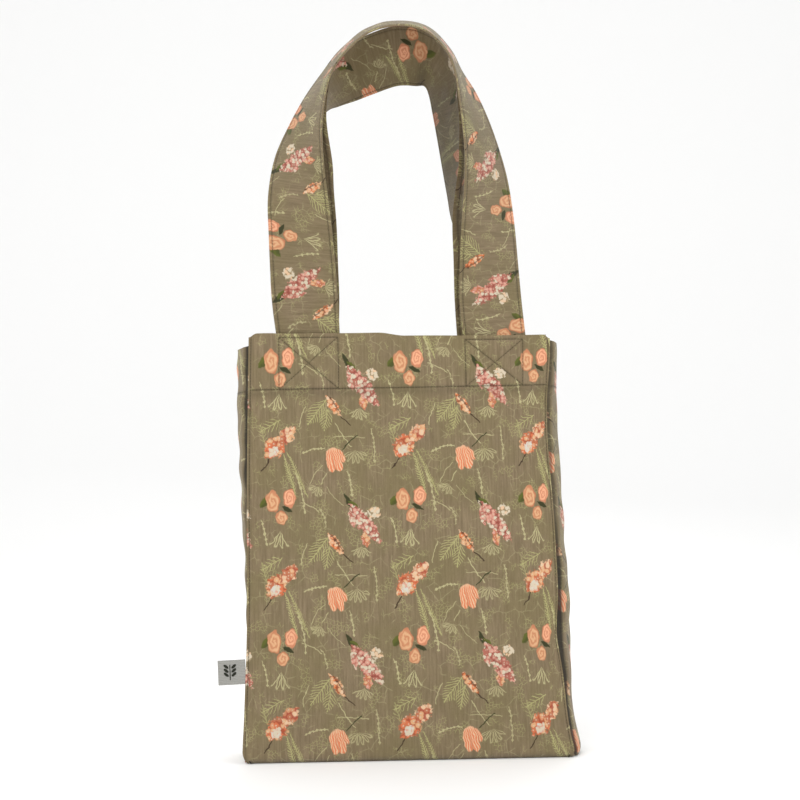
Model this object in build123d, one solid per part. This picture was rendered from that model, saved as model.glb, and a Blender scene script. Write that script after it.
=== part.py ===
"""A gusseted cloth tote bag with two long shoulder straps, standing upright.

+Z is up, +X runs along the front wall and the front faces -Y. The origin is the middle of the
underside of the base. All lengths are in millimetres.
"""

import os
from math import atan2, cos, degrees, hypot, sin

from build123d import *

os.makedirs("parts", exist_ok=True)

# The bag's cut sizes.
cloth = 1.6  # a wall: printed cotton canvas with its lining
hem_cloth = 1.2  # the turned hem inside each wall
strap_cloth = 2.6  # a strap: four layers of canvas pressed flat
base_width = 328.0
mouth_width = 310.0
wall_height = 420.0  # along the cloth
base_depth = 70.0
mouth_depth = 50.0
hem_depth = 52.0  # from the mouth to the hem's stitching
strap_width = 64.0
strap_spacing = 189.0  # between the middles of a strap's two ends
corner_radius = 7.0  # the front and rear walls' lower corners
left_bulge = (2.0, 15.0)  # how far a gusset stands out, at the base and at the mouth
right_bulge = (6.0, 8.0)

# Clearances.
layer_gap = 0.1  # between layers of one wall
body_gap = 0.4  # between pieces that move apart

# Sewing.
thread = 0.5
edge_stitch = 2.5  # from a wall's side edge to its topstitching
box_inset = 2.0  # from a strap end's edge to its box stitching
strap_stitch = 3.5  # from a strap's edge to its topstitching

# The folded label in the front left seam.
label_width = 24.0
label_height = 24.0
label_thickness = 1.2
label_middle_z = 89.0
label_droop = 2.0  # degrees
label_clearance = 1.2  # from the wall's edge

lean = atan2((base_depth - mouth_depth) / 2, wall_height)
mouth_z = wall_height * cos(lean)
FRONT, REAR = -1, 1

# Each strap is a band between two edges that run from the left end to the right end.
# A point is (x, y, height above the mouth); the same point of both lists is one cross-section.
strap_y = mouth_depth / 2 - cloth - hem_cloth - 2 * layer_gap - strap_cloth / 2
inner_x = (strap_spacing - strap_width) / 2
outer_x = (strap_spacing + strap_width) / 2
rear_shift = -3.5  # the rear strap's ends sit this far off the middle
foot_z = body_gap

front_inner_edge = [
    (-inner_x, -strap_y, foot_z),
    (-64, -24, 45),
    (-67, -31, 95),
    (-71, -36, 137),
    (-75, -39, 176),
    (-76.5, -42, 211),
    (-73, -42, 245),
    (-66, -42, 271),
    (-51, -42, 293),
    (-26, -42, 313.5),
    (5, -42, 320),
    (32, -42, 313),
    (51.5, -42, 293),
    (60, -42, 271),
    (63.5, -41.5, 245),
    (66.5, -40, 217),
    (68.5, -38, 185),
    (67, -34, 151),
    (63.5, -30, 112),
    (61, -26, 72),
    (60, -23, 36),
    (inner_x, -strap_y, foot_z),
]
front_outer_edge = [
    (-outer_x, -strap_y, foot_z),
    (-130.5, -23, 47),
    (-132, -26, 105),
    (-133, -24, 149),
    (-128, -8, 193),
    (-113.5, 6, 232),
    (-97, 14, 265),
    (-78, 17, 293),
    (-59, 17, 317),
    (-29, 16, 340),
    (5.5, 16, 347.5),
    (36, 16, 340),
    (58.5, 17, 316),
    (71, 18, 291),
    (85, 15, 266),
    (98, 13, 234),
    (109, 10, 197),
    (116, 5, 163),
    (120.5, -1, 119),
    (122.5, -9, 74),
    (124, -16, 37),
    (outer_x, -strap_y, foot_z),
]
rear_inner_edge = [
    (rear_shift - inner_x, strap_y, foot_z),
    (-64, 14, 45),
    (-64.5, 7, 84),
    (-65, -1, 122),
    (-67, -9, 160),
    (-67, -15, 198),
    (-66, -19, 234),
    (-63, -20, 263),
    (-53, -20, 295),
    (-37, -20, 310),
    (-9, -20, 323),
    (8, -20, 325.5),
    (24, -20, 322.5),
    (43, -20, 307.5),
    (55, -19, 280),
    (58.5, -18, 248),
    (62, -16, 217),
    (63.5, -11, 184),
    (60, -6, 159),
    (56, 2, 126),
    (56.5, 9, 85),
    (57, 15, 43),
    (rear_shift + inner_x, strap_y, foot_z),
]
rear_outer_edge = [
    (rear_shift - outer_x, strap_y, foot_z),
    (-131.5, 20, 47),
    (-131, 17, 90),
    (-127, 14, 131),
    (-118, 25, 178),
    (-99, 34, 225),
    (-78, 39, 256),
    (-63, 42, 264),
    (-44, 36.5, 268),
    (-24, 30, 273),
    (-2, 26, 279),
    (10, 24, 279.5),
    (21, 26.5, 279.5),
    (31, 37, 283),
    (36, 42, 275),
    (40, 43.5, 253),
    (44.5, 45, 225),
    (49.5, 51, 194),
    (54, 57, 168),
    (60, 60, 135),
    (77, 60, 95),
    (106, 47, 50),
    (rear_shift + outer_x, strap_y, foot_z),
]
strap_steps = 3  # cross-sections between one point and the next


def save(node, shape):
    """Write one node; a list of solids is written as one group."""
    if isinstance(shape, list):
        shape = Compound(children=shape)
    export_step(shape, f"parts/{node}.step")


# Walls


def half_width(height):
    """Half the front wall's width at a height along its cloth."""
    return (base_width + (mouth_width - base_width) * height / wall_height) / 2


def half_depth(height):
    """Half the bag's depth, outside, at a height along its cloth."""
    return (base_depth + (mouth_depth - base_depth) * height / wall_height) / 2


def wall_plane(side, depth=0.0):
    """The wall's outer face, or a layer `depth` inside it: X across, Y up the cloth, Z out."""
    face = Plane(
        origin=(0, side * base_depth / 2, 0),
        x_dir=(-side, 0, 0),
        z_dir=(0, side * cos(lean), sin(lean)),
    )
    return face.offset(-depth)


def wall_layer(outline, side, depth, thickness):
    """A flat layer of cloth cut to an outline, `depth` inside the wall's outer face."""
    return extrude(wall_plane(side, depth) * outline, amount=-thickness)


def wall_outline():
    low, high = half_width(0), half_width(wall_height)
    edge = Polyline(
        (-low, body_gap), (low, body_gap), (high, wall_height), (-high, wall_height), close=True
    )
    face = make_face(edge)
    return fillet(face.vertices().sort_by(Axis.Y)[:2], corner_radius)


def hem_outline():
    low = wall_height - hem_depth - edge_stitch
    inset = cloth + 2 * hem_cloth
    return make_face(
        Polyline(
            (inset - half_width(low), low),
            (half_width(low) - inset, low),
            (half_width(wall_height) - inset, wall_height),
            (inset - half_width(wall_height), wall_height),
            close=True,
        )
    )


def strap_ends(side):
    """The two ends of a strap, flat inside the hem."""
    length = hem_depth + edge_stitch
    middle = Pos(0, wall_height - length / 2)
    depth = cloth + hem_cloth + 2 * layer_gap
    shift = rear_shift if side == REAR else 0.0
    ends = []
    for hand in (-1, 1):
        # Local X runs the other way on the rear wall.
        place = Pos(-side * shift + hand * strap_spacing / 2, 0) * middle
        ends.append(wall_layer(place * Rectangle(strap_width, length), side, depth, strap_cloth))
    return ends


# Gussets


def gusset_section(hand, height, depth, thickness, bulge, margin):
    """One level cross-section of a gusset: a band between two arcs."""
    x = half_width(height) - depth
    y = half_depth(height) - margin
    out = bulge[0] + (bulge[1] - bulge[0]) * height / wall_height
    outer = ThreePointArc((hand * x, -y), (hand * (x + out), 0), (hand * x, y))
    inside = x - thickness
    inner = ThreePointArc((hand * inside, y), (hand * (inside + out), 0), (hand * inside, -y))
    closing = [Line(outer @ 1, inner @ 0), Line(inner @ 1, outer @ 0)]
    face = make_face([outer, closing[0], inner, closing[1]])
    return Pos(0, 0, height * cos(lean)) * face


def gusset(hand, bulge, low, high, depth, thickness, margin):
    """A side wall, or its hem, between two heights."""
    sections = [
        gusset_section(hand, height, depth, thickness, bulge, margin) for height in (low, high)
    ]
    return loft(sections, ruled=True)


# Straps


def curve_through(points, steps):
    """Points along a smooth curve through the given ones, as vectors at real heights."""
    knots = [Vector(x, y, mouth_z + height) for x, y, height in points]
    before = knots[0] * 2 - knots[1]
    after = knots[-1] * 2 - knots[-2]
    knots = [before, *knots, after]
    curve = []
    for a, b, c, d in zip(knots, knots[1:], knots[2:], knots[3:]):
        for step in range(steps):
            t = step / steps
            bend = (a * 2 - b * 5 + c * 4 - d) * t**2 + (b * 3 - a - c * 3 + d) * t**3
            curve.append((b * 2 + (c - a) * t + bend) * 0.5)
    curve.append(knots[-2])
    return curve


def band(inner_edge, outer_edge, start, end, low, high):
    """A strip of a strap, from `start` to `end` across it and `low` to `high` off its middle.

    Positive heights are on the strap's outside, which faces out of the loop.
    """
    inner = curve_through(inner_edge, strap_steps)
    outer = curve_through(outer_edge, strap_steps)
    sections = []
    last = len(inner) - 1
    for i, (a, b) in enumerate(zip(inner, outer)):
        ahead, behind = min(i + 1, last), max(i - 1, 0)
        along = inner[ahead] + outer[ahead] - inner[behind] - outer[behind]
        across = (b - a).normalized()
        width = (b - a).length
        out = across.cross(along).normalized() * -1
        near = a + across * (start * width / strap_width)
        far = a + across * (end * width / strap_width)
        corners = [near + out * low, far + out * low, far + out * high, near + out * high]
        sections.append(make_face(Polyline(*corners, close=True)))
    return loft(sections, ruled=True)


def strap_threads(inner_edge, outer_edge):
    """Topstitching along both edges of a strap, on both faces."""
    face = strap_cloth / 2 + layer_gap
    threads = []
    for start in (strap_stitch, strap_width - strap_stitch - thread):
        for low in (face, -face - thread / 2):
            strip = band(inner_edge, outer_edge, start, start + thread, low, low + thread / 2)
            threads.append(strip)
    return threads


# Sewing on the walls


def thread_line(side, start, end):
    """A straight line of topstitching on the outer face of a wall."""
    (x0, y0), (x1, y1) = start, end
    angle = degrees(atan2(y1 - y0, x1 - x0))
    length = hypot(x1 - x0, y1 - y0)
    place = Pos((x0 + x1) / 2, (y0 + y1) / 2) * Rot(0, 0, angle)
    lift = -layer_gap - thread / 2
    return wall_layer(place * Rectangle(length, thread), side, lift, thread / 2)


def hem_thread(side):
    height = wall_height - hem_depth
    reach = half_width(height) - 2 * edge_stitch
    return thread_line(side, (-reach, height), (reach, height))


def corner_threads(side):
    """Topstitching up both side edges of a wall."""
    low, high = 2 * corner_radius, wall_height - 2 * edge_stitch
    lines = []
    for hand in (-1, 1):
        start = (hand * (half_width(low) - edge_stitch), low)
        end = (hand * (half_width(high) - edge_stitch), high)
        lines.append(thread_line(side, start, end))
    return lines


def box_threads(side):
    """A box and a cross over each strap end. The hem's stitching is each box's lower side."""
    clear = 2 * thread  # lines stop short of each other, so that no two threads overlap
    half = strap_width / 2 - box_inset
    low = wall_height - hem_depth + clear
    high = wall_height - 2 * box_inset
    shift = rear_shift if side == REAR else 0.0
    lines = []
    for hand in (-1, 1):
        middle = -side * shift + hand * strap_spacing / 2
        left, right = middle - half, middle + half
        lines.append(thread_line(side, (left + clear, high), (right - clear, high)))
        lines.append(thread_line(side, (left, low), (left, high)))
        lines.append(thread_line(side, (right, low), (right, high)))
        lines.append(
            thread_line(side, (left + 2 * clear, low + clear), (right - 2 * clear, high - clear))
        )
        # The second diagonal is in two runs, one each side of the first.
        centre = (middle, (low + high) / 2)
        for corner in ((left + 2 * clear, high - clear), (right - 2 * clear, low + clear)):
            span = hypot(corner[0] - centre[0], corner[1] - centre[1])
            share = clear / span
            inner_end = (
                centre[0] + (corner[0] - centre[0]) * share,
                centre[1] + (corner[1] - centre[1]) * share,
            )
            lines.append(thread_line(side, inner_end, corner))
    return lines


def gusset_threads():
    """The hem's stitching across both gussets."""
    height = wall_height - hem_depth
    threads = []
    for hand, bulge in ((-1, left_bulge), (1, right_bulge)):
        lift = -layer_gap - thread / 2
        threads.append(
            gusset(hand, bulge, height, height + thread, lift, thread / 2, cloth + body_gap)
        )
    return threads


# Label


def label_place():
    """The middle of the label's edge, in the front left seam."""
    height = label_middle_z / cos(lean)
    x = -half_width(height) - label_clearance
    y = -half_depth(height) + cloth / 2
    return Pos(x, y, label_middle_z) * Rot(0, -label_droop, 0)


def label_tab():
    tab = Box(label_width, label_thickness, label_height)
    return label_place() * Pos(-label_width / 2, 0, 0) * tab


def label_sprig():
    """A leaf sprig woven on the label's front: a stem and three pairs of leaves."""
    raised = thread / 2
    stem_height = label_height * 0.62
    leaf_long, leaf_wide = 5.6, 2.6
    front = (-label_width / 2, -label_thickness / 2 - layer_gap, 0)
    face = Plane(origin=front, x_dir=(1, 0, 0), z_dir=(0, -1, 0))
    shapes = [extrude(face * Rectangle(thread * 1.6, stem_height), amount=raised)]
    for level in (-0.26, 0.0, 0.26):
        for hand in (-1, 1):
            leaf = Pos(hand * (leaf_long / 2 + 1.0), level * stem_height + 2.0)
            turned = leaf * Rot(0, 0, hand * 38) * Ellipse(leaf_long / 2, leaf_wide / 2)
            shapes.append(extrude(face * turned, amount=raised))
    return [label_place() * shape for shape in shapes]


# Base


def base_panel():
    inset = cloth + body_gap
    flat = Rectangle(base_width - 2 * inset, base_depth - 2 * inset)
    return extrude(fillet(flat.vertices(), corner_radius), amount=cloth)


wall_names = {FRONT: "front", REAR: "rear"}
for side, name in wall_names.items():
    save(f"{name}_panel", wall_layer(wall_outline(), side, 0, cloth))
    save(f"{name}_hem_facing", wall_layer(hem_outline(), side, cloth + layer_gap, hem_cloth))
    save(f"{name}_handle_ends", strap_ends(side))
    save(f"{name}_hem_stitching", hem_thread(side))
    save(f"{name}_corner_topstitching", corner_threads(side))
    save(f"{name}_box_stitching", box_threads(side))

gusset_low = cloth + body_gap
hem_low = wall_height - hem_depth - edge_stitch
for hand, name, bulge in ((-1, "left", left_bulge), (1, "right", right_bulge)):
    side_wall = gusset(hand, bulge, gusset_low, wall_height, 0, cloth, cloth + body_gap)
    hem_margin = cloth + hem_cloth + 2 * body_gap
    hem = gusset(hand, bulge, hem_low, wall_height, cloth + layer_gap, hem_cloth, hem_margin)
    save(f"{name}_gusset", side_wall)
    save(f"{name}_gusset_hem", hem)
save("gusset_hem_stitching", gusset_threads())

save("base_panel", base_panel())

straps = {
    "front": (front_inner_edge, front_outer_edge),
    "rear": (rear_inner_edge, rear_outer_edge),
}
for name, edges in straps.items():
    half = strap_cloth / 2
    save(f"{name}_handle", band(*edges, 0, strap_width, -half, half))
    save(f"{name}_handle_stitching", strap_threads(*edges))

save("side_label", label_tab())
save("label_sprig", label_sprig())
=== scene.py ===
"""A gusseted cloth tote bag, standing upright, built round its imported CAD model."""

import math

import bpy
import numpy as np
from mathutils import Matrix, Vector


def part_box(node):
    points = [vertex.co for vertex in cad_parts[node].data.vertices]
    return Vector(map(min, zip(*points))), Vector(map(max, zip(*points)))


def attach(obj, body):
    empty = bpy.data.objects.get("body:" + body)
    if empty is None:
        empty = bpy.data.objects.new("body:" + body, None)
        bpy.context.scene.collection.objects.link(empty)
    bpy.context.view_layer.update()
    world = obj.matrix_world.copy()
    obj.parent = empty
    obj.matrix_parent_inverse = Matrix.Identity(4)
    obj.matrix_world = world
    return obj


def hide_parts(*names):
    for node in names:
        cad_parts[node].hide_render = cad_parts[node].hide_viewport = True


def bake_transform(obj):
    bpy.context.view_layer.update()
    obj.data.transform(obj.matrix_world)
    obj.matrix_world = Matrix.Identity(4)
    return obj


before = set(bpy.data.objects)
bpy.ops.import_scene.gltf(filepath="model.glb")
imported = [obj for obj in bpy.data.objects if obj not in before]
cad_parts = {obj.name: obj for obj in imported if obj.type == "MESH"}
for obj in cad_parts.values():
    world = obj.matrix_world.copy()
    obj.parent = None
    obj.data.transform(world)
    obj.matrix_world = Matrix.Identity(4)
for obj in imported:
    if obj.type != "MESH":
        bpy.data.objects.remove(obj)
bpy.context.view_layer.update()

MM = 0.001
FRONT, REAR = -1, 1
LEFT, RIGHT = -1, 1
side_name = {FRONT: "front", REAR: "rear"}
hand_name = {LEFT: "left", RIGHT: "right"}
wall_body = {FRONT: "front_wall", REAR: "bag_body"}


# Measures of the bag, in millimetres, from the frame


def end_of(node, top):
    """The lowest and highest corner of a CAD node's top or bottom edge, in millimetres."""
    points = np.array([v.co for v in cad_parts[node].data.vertices]) / MM
    level = points[:, 2].max() if top else points[:, 2].min()
    near = points[np.abs(points[:, 2] - level) < 1.0]
    return near.min(0), near.max(0)


wall_top = end_of("front_panel", True)
base_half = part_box("front_panel")[1].x / MM
mouth_half = wall_top[1][0]
mouth_z = wall_top[1][2]
base_y = -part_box("front_panel")[0].y / MM
mouth_y = -wall_top[0][1]
lean = math.atan2(base_y - mouth_y, mouth_z)
hem_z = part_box("front_hem_stitching")[0].z / MM + 0.25
hem_depth = mouth_z - hem_z
left_out = -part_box("left_gusset")[0].x / MM - mouth_half
right_out_low = end_of("right_gusset", False)[1][0] - base_half
right_out_high = end_of("right_gusset", True)[1][0] - mouth_half

cloth = 1.1  # thickness of a wall's cloth
hem_cloth = 0.9
hem_step = 1.8  # between the rows of points up a hem
strap_cloth = 2.6
strap_width = 64.0
strap_spacing = 189.0
rear_shift = -3.5
edge_stitch = 2.5
strap_stitch = 3.5
box_inset = 2.0
stitch_pitch = 3.0
foot_z = 0.4  # where the walls' and gussets' cloth starts

# The straps' edges, left end to right end: (x, y, height above the mouth). A point of one list
# and the same point of the other are one cross-section.
strap_y = mouth_y - 4.3
inner_x = (strap_spacing - strap_width) / 2
outer_x = (strap_spacing + strap_width) / 2
front_inner_edge = [
    (-inner_x, -strap_y, 0), (-64, -24, 45), (-67, -31, 95), (-71, -36, 137), (-75, -39, 176),
    (-76.5, -42, 211), (-73, -42, 245), (-66, -42, 271), (-51, -42, 293), (-26, -42, 313.5),
    (5, -42, 320), (32, -42, 313), (51.5, -42, 293), (60, -42, 271), (63.5, -41.5, 245),
    (66.5, -40, 217), (68.5, -38, 185), (67, -34, 151), (63.5, -30, 112), (61, -26, 72),
    (60, -23, 36), (inner_x, -strap_y, 0),
]
front_outer_edge = [
    (-outer_x, -strap_y, 0), (-131.5, -23, 47), (-133.5, -26, 105), (-134, -24, 149), (-128, -8, 193),
    (-113.5, 6, 232), (-97, 14, 265), (-78, 17, 293), (-59, 17, 317), (-29, 16, 340),
    (5.5, 16, 347.5), (36, 16, 340), (58.5, 17, 316), (71, 18, 291), (85, 15, 266), (98, 13, 234),
    (109, 10, 197), (116, 5, 163), (120.5, -1, 119), (122.5, -9, 74), (124, -16, 37),
    (outer_x, -strap_y, 0),
]
rear_inner_edge = [
    (rear_shift - inner_x, strap_y, 0), (-64, 14, 45), (-64.5, 7, 84), (-65, -1, 122),
    (-67, -9, 160), (-67, -15, 198), (-66, -19, 234), (-63, -20, 263), (-53, -20, 295),
    (-37, -20, 310), (-9, -20, 323), (8, -20, 325.5), (24, -20, 322.5), (43, -20, 307.5),
    (55, -19, 280), (58.5, -18, 248), (62, -16, 217), (63.5, -11, 184), (60, -6, 159), (56, 2, 126),
    (56.5, 9, 85), (57, 15, 43), (rear_shift + inner_x, strap_y, 0),
]
rear_outer_edge = [
    (rear_shift - outer_x, strap_y, 0), (-135.5, 20, 47), (-136.5, 17, 90), (-133.5, 14, 131),
    (-118, 25, 178), (-99, 34, 225), (-78, 39, 256), (-63, 42, 264), (-44, 36.5, 268),
    (-24, 30, 273), (-2, 26, 279), (10, 24, 279.5), (21, 26.5, 279.5), (31, 37, 283), (36, 42, 275),
    (40, 43.5, 253), (44.5, 45, 225), (49.5, 51, 194), (54, 57, 168), (60, 60, 135), (77, 60, 95),
    (106, 47, 50), (rear_shift + outer_x, strap_y, 0),
]

# The print repeats over a tile. On the walls its origin, the middle of a group of three roses,
# is at this place.
tile_width, tile_height = 130.5, 138.0
print_x0, print_h0 = -127.8, 389.5


# Camera, floor and light


def make_camera():
    camera = bpy.data.objects.new("camera", bpy.data.cameras.new("camera"))
    bpy.context.scene.collection.objects.link(camera)
    bpy.context.scene.camera = camera
    camera.data.sensor_width = 36.0
    camera.data.lens = 56.45
    camera.location = (-0.008, -1.287, 0.236)
    rise, turn, roll = math.radians(5.40), math.radians(0.24), math.radians(1.156)
    aim = Matrix.Rotation(-turn, 3, "Z") @ Matrix.Rotation(math.pi / 2 + rise, 3, "X")
    camera.rotation_euler = (aim @ Matrix.Rotation(-roll, 3, "Z")).to_euler()


def area_light(name, place, target, size, power):
    light = bpy.data.objects.new(name, bpy.data.lights.new(name, "AREA"))
    bpy.context.scene.collection.objects.link(light)
    light.data.shape = "RECTANGLE"
    light.data.size, light.data.size_y = size
    light.data.energy = power
    light.location = place
    direction = Vector(target) - light.location
    light.rotation_euler = direction.to_track_quat("-Z", "Y").to_euler()


def make_stage():
    """A pale floor that sweeps up behind the bag, a soft sky and three soft lights."""
    run, radius, top = 6.0, 1.5, 6.0
    profile = [(-run, 0.0)]
    for step in range(17):
        turn = math.pi / 2 * step / 16
        profile.append((2.2 + radius * math.sin(turn), radius * (1 - math.cos(turn))))
    profile.append((2.2 + radius, top))
    verts = [(x, y, z) for y, z in profile for x in (-run, run)]
    faces = [(2 * i, 2 * i + 1, 2 * i + 3, 2 * i + 2) for i in range(len(profile) - 1)]
    mesh = bpy.data.meshes.new("floor")
    mesh.from_pydata(verts, [], faces)
    mesh.polygons.foreach_set("use_smooth", [True] * len(faces))
    floor = bpy.data.objects.new("floor", mesh)
    bpy.context.scene.collection.objects.link(floor)
    material = bpy.data.materials.new("pale_floor")
    material.use_nodes = True
    shader = material.node_tree.nodes["Principled BSDF"]
    shader.inputs["Base Color"].default_value = (0.92, 0.92, 0.915, 1)
    shader.inputs["Roughness"].default_value = 0.9
    mesh.materials.append(material)
    world = bpy.data.worlds.new("sky")
    bpy.context.scene.world = world
    world.use_nodes = True
    world.node_tree.nodes["Background"].inputs["Color"].default_value = (1, 1, 1, 1)
    world.node_tree.nodes["Background"].inputs["Strength"].default_value = 0.92
    bpy.context.scene.view_settings.view_transform = "Standard"
    middle = (0, 0, 0.4)
    area_light("key_light", (-1.1, -1.9, 2.2), middle, (1.8, 1.8), 34)
    area_light("fill_light", (1.9, -1.5, 1.1), middle, (1.8, 1.8), 14)
    area_light("back_light", (0.3, 1.9, 1.9), middle, (1.8, 1.8), 18)


# Meshes


def add_mesh(name, points, faces, materials, face_material=None, uv=None, painted_shade=None):
    """A mesh object. Points are in millimetres; uv and the painted shade values have one row for each point.
    """
    mesh = bpy.data.meshes.new(name)
    mesh.from_pydata((np.asarray(points) * MM).tolist(), [], faces.tolist())
    mesh.polygons.foreach_set("use_smooth", np.ones(len(faces), bool))
    for material in materials:
        mesh.materials.append(material)
    if face_material is not None:
        mesh.polygons.foreach_set("material_index", np.asarray(face_material, np.int32))
    if uv is not None:
        layer = mesh.uv_layers.new(name="print")
        corner = np.empty(len(mesh.loops), np.int32)
        mesh.loops.foreach_get("vertex_index", corner)
        layer.uv.foreach_set("vector", np.asarray(uv, np.float32)[corner].ravel())
    # Painted shade: a point attribute that the cloth materials darken by.
    if painted_shade is not None:
        layer = mesh.attributes.new("painted_shade", "FLOAT", "POINT")
        layer.data.foreach_set("value", np.asarray(painted_shade, np.float32).ravel())
    mesh.set_sharp_from_angle(angle=math.radians(50))
    piece = bpy.data.objects.new(name, mesh)
    bpy.context.scene.collection.objects.link(piece)
    return piece


def grid_faces(rows, columns, first=0, wrap=False, flip=False):
    """Faces of a grid of points, row by row; wrap joins the last column to the first."""
    across = columns if wrap else columns - 1
    i, j = np.meshgrid(np.arange(rows - 1), np.arange(across), indexing="ij")
    k = (j + 1) % columns
    quads = np.stack([i * columns + j, i * columns + k, (i + 1) * columns + k, (i + 1) * columns + j])
    quads = quads.reshape(4, -1).T + first
    return quads[:, ::-1] if flip else quads


def normals_of(grid):
    """Unit normals of a grid of points (rows, columns, 3), along columns x rows."""
    down = np.gradient(grid, axis=0)
    across = np.gradient(grid, axis=1)
    normal = np.cross(across, down)
    return normal / np.linalg.norm(normal, axis=2, keepdims=True)


def border(rows, columns):
    """The points round the edge of a grid, in order."""
    return np.concatenate([
        np.arange(columns),
        np.arange(1, rows) * columns + columns - 1,
        (rows - 1) * columns + np.arange(columns - 1)[::-1],
        np.arange(1, rows - 1)[::-1] * columns,
    ])


def thick_sheet(name, outer, thickness, uv, materials, flip=False, painted_shade=None):
    """A closed sheet: a grid of points, a second one behind it, and a rim round both.

    The outside has the first material, the inside the second and the rim the first.
    """
    rows, columns = outer.shape[:2]
    normal = normals_of(outer) * (-1 if flip else 1)
    inner = outer - normal * thickness
    points = np.concatenate([outer.reshape(-1, 3), inner.reshape(-1, 3)])
    count = rows * columns
    outside = grid_faces(rows, columns, flip=flip)
    inside = grid_faces(rows, columns, first=count, flip=not flip)
    ring = border(rows, columns)
    following = np.roll(ring, -1)
    rim = np.stack([following, ring, ring + count, following + count], axis=1)
    rim = rim[:, ::-1] if flip else rim
    faces = np.concatenate([outside, inside, rim])
    which = np.repeat([0, 1, 0], [len(outside), len(inside), len(rim)])
    both = np.concatenate([uv.reshape(-1, 2), uv.reshape(-1, 2)]) * MM
    painted_shade = np.zeros(count) if painted_shade is None else painted_shade.ravel()
    return add_mesh(name, points, faces, materials, which, both, np.concatenate([painted_shade, painted_shade]))


def spaced(stops):
    """Positions along a line: (end, step) pairs, each stretch cut into steps about that long."""
    at = [stops[0]]
    for end, step in stops[1:]:
        count = max(1, round(abs(end - at[-1]) / step))
        at += list(np.linspace(at[-1], end, count + 1)[1:])
    return np.array(at)


def smooth_step(low, high, x):
    t = np.clip((x - low) / (high - low), 0, 1)
    return t * t * (3 - 2 * t)


def plateau(x, rise, fall):
    """1 between a soft rise and a soft fall, each given as its start and end."""
    return smooth_step(*rise, x) * (1 - smooth_step(*fall, x))


def swell(x, middle, width):
    """A soft bump: 1 at its middle and nearly 0 two widths away."""
    return np.exp(-(((x - middle) / width) ** 2))


def near_start(x, reach):
    """1 at 0, falling evenly to 0 at `reach`."""
    return np.clip(1 - x / reach, 0, 1)


def ripple(x, y, length, seed):
    """Soft uneven waves about `length` long, between about -1 and 1."""
    source = np.random.default_rng(seed)
    total = 0.0
    for _ in range(9):
        turn, phase = source.uniform(0, 2 * np.pi, 2)
        wave = 2 * np.pi / (length * source.uniform(0.7, 1.6))
        total = total + np.sin((x * np.cos(turn) + y * np.sin(turn)) * wave + phase)
    return total / 4


def fold(x, y, start, end, width, height):
    """A soft ridge of cloth along a line between two points."""
    run = np.subtract(end, start)
    t = ((x - start[0]) * run[0] + (y - start[1]) * run[1]) / np.dot(run, run)
    along = np.clip(t, 0, 1)
    away = np.hypot(x - start[0] - along * run[0], y - start[1] - along * run[1])
    return height * np.sin(np.pi * np.clip(t, 0.02, 0.98)) * swell(away, 0, width)


# The bag's shape


def half_width(h):
    return base_half + (mouth_half - base_half) * h / mouth_z


def half_depth(h):
    return base_y + (mouth_y - base_y) * h / mouth_z


def near_mouth(h):
    return smooth_step(mouth_z - 60, mouth_z, h)


def mouth_wave(x, side):
    """The hemmed mouth's soft rise and fall; its left half stands a little higher."""
    wave = 0.6 * ripple(x, x * 0, 120, 11 + side) + 1.2 - 1.8 * smooth_step(-40, 120, side * -x)
    left_half, left_corner = 1 - smooth_step(-24, 4, x), 1 - smooth_step(-140, -105, x)
    return wave + 3.5 * left_half + 1.5 * left_corner


def seam_pull(side, hand, h):
    """How far a side seam draws inwards between the mouth and the foot.

    The front right seam draws in furthest: along all its height, less at the mouth and more low down.
    """
    if (side, hand) != (FRONT, RIGHT):
        return 2.5 * swell(h, 135, 100) * smooth_step(0, 45, h)
    pull = 10 * (1 - np.exp(-h / 30)) - 5.5 * smooth_step(340, mouth_z, h)
    return pull + 4 * swell(h, 120, 28) + 2.3 * swell(h, 310, 50)


def pulled(side, x, h):
    """Where a wall's place x ends up once its side seams have drawn in."""
    pull = np.where(x > 0, seam_pull(side, RIGHT, h), seam_pull(side, LEFT, h))
    return x - np.sign(x) * pull * (np.abs(x) / half_width(h)) ** 5


def strap_middle(side, hand):
    return hand * strap_spacing / 2 + (rear_shift if side == REAR else 0.0)


rising_diagonal = 3  # its place among a box's five lines; its thread lies shallow


def box_lines(side):
    """The stitched box and cross over each strap end: pairs of ends, in wall coordinates (x, h)."""
    lines = []
    for hand in (LEFT, RIGHT):
        half = strap_width / 2 - box_inset
        left, right = strap_middle(side, hand) - half, strap_middle(side, hand) + half
        low, high = hem_z, mouth_z - 2 * box_inset
        lines += [
            ((left, high), (right, high)),
            ((left, low), (left, high)),
            ((right, low), (right, high)),
            ((left, low), (right, high)),
            ((left, high), (right, low)),
        ]
    return lines


def distance_to(x, h, line):
    (x0, h0), (x1, h1) = line
    run = (x1 - x0, h1 - h0)
    t = np.clip(((x - x0) * run[0] + (h - h0) * run[1]) / (run[0] ** 2 + run[1] ** 2), 0, 1)
    return np.hypot(x - x0 - t * run[0], h - h0 - t * run[1])


wall_folds = {
    FRONT: [
        ((-120, 355), (-70, 190), 16, 1.6), ((95, 350), (60, 200), 18, 1.4),
        ((-150, 20), (-60, 120), 14, 1.8), ((155, 15), (70, 110), 15, 2.0),
        ((-30, 350), (20, 240), 22, -1.3), ((-140, 210), (-20, 170), 18, -1.1),
        ((140, 230), (30, 150), 20, 1.0), ((-60, 40), (80, 30), 14, -1.2),
    ],
    REAR: [
        ((-110, 350), (-40, 210), 18, 1.7), ((110, 355), (90, 180), 16, 1.4),
        ((-150, 25), (-70, 140), 15, 1.7), ((150, 20), (50, 90), 14, 1.9),
        ((10, 340), (-20, 200), 20, -1.3), ((120, 150), (-10, 110), 18, -1.2),
    ],
}


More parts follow.
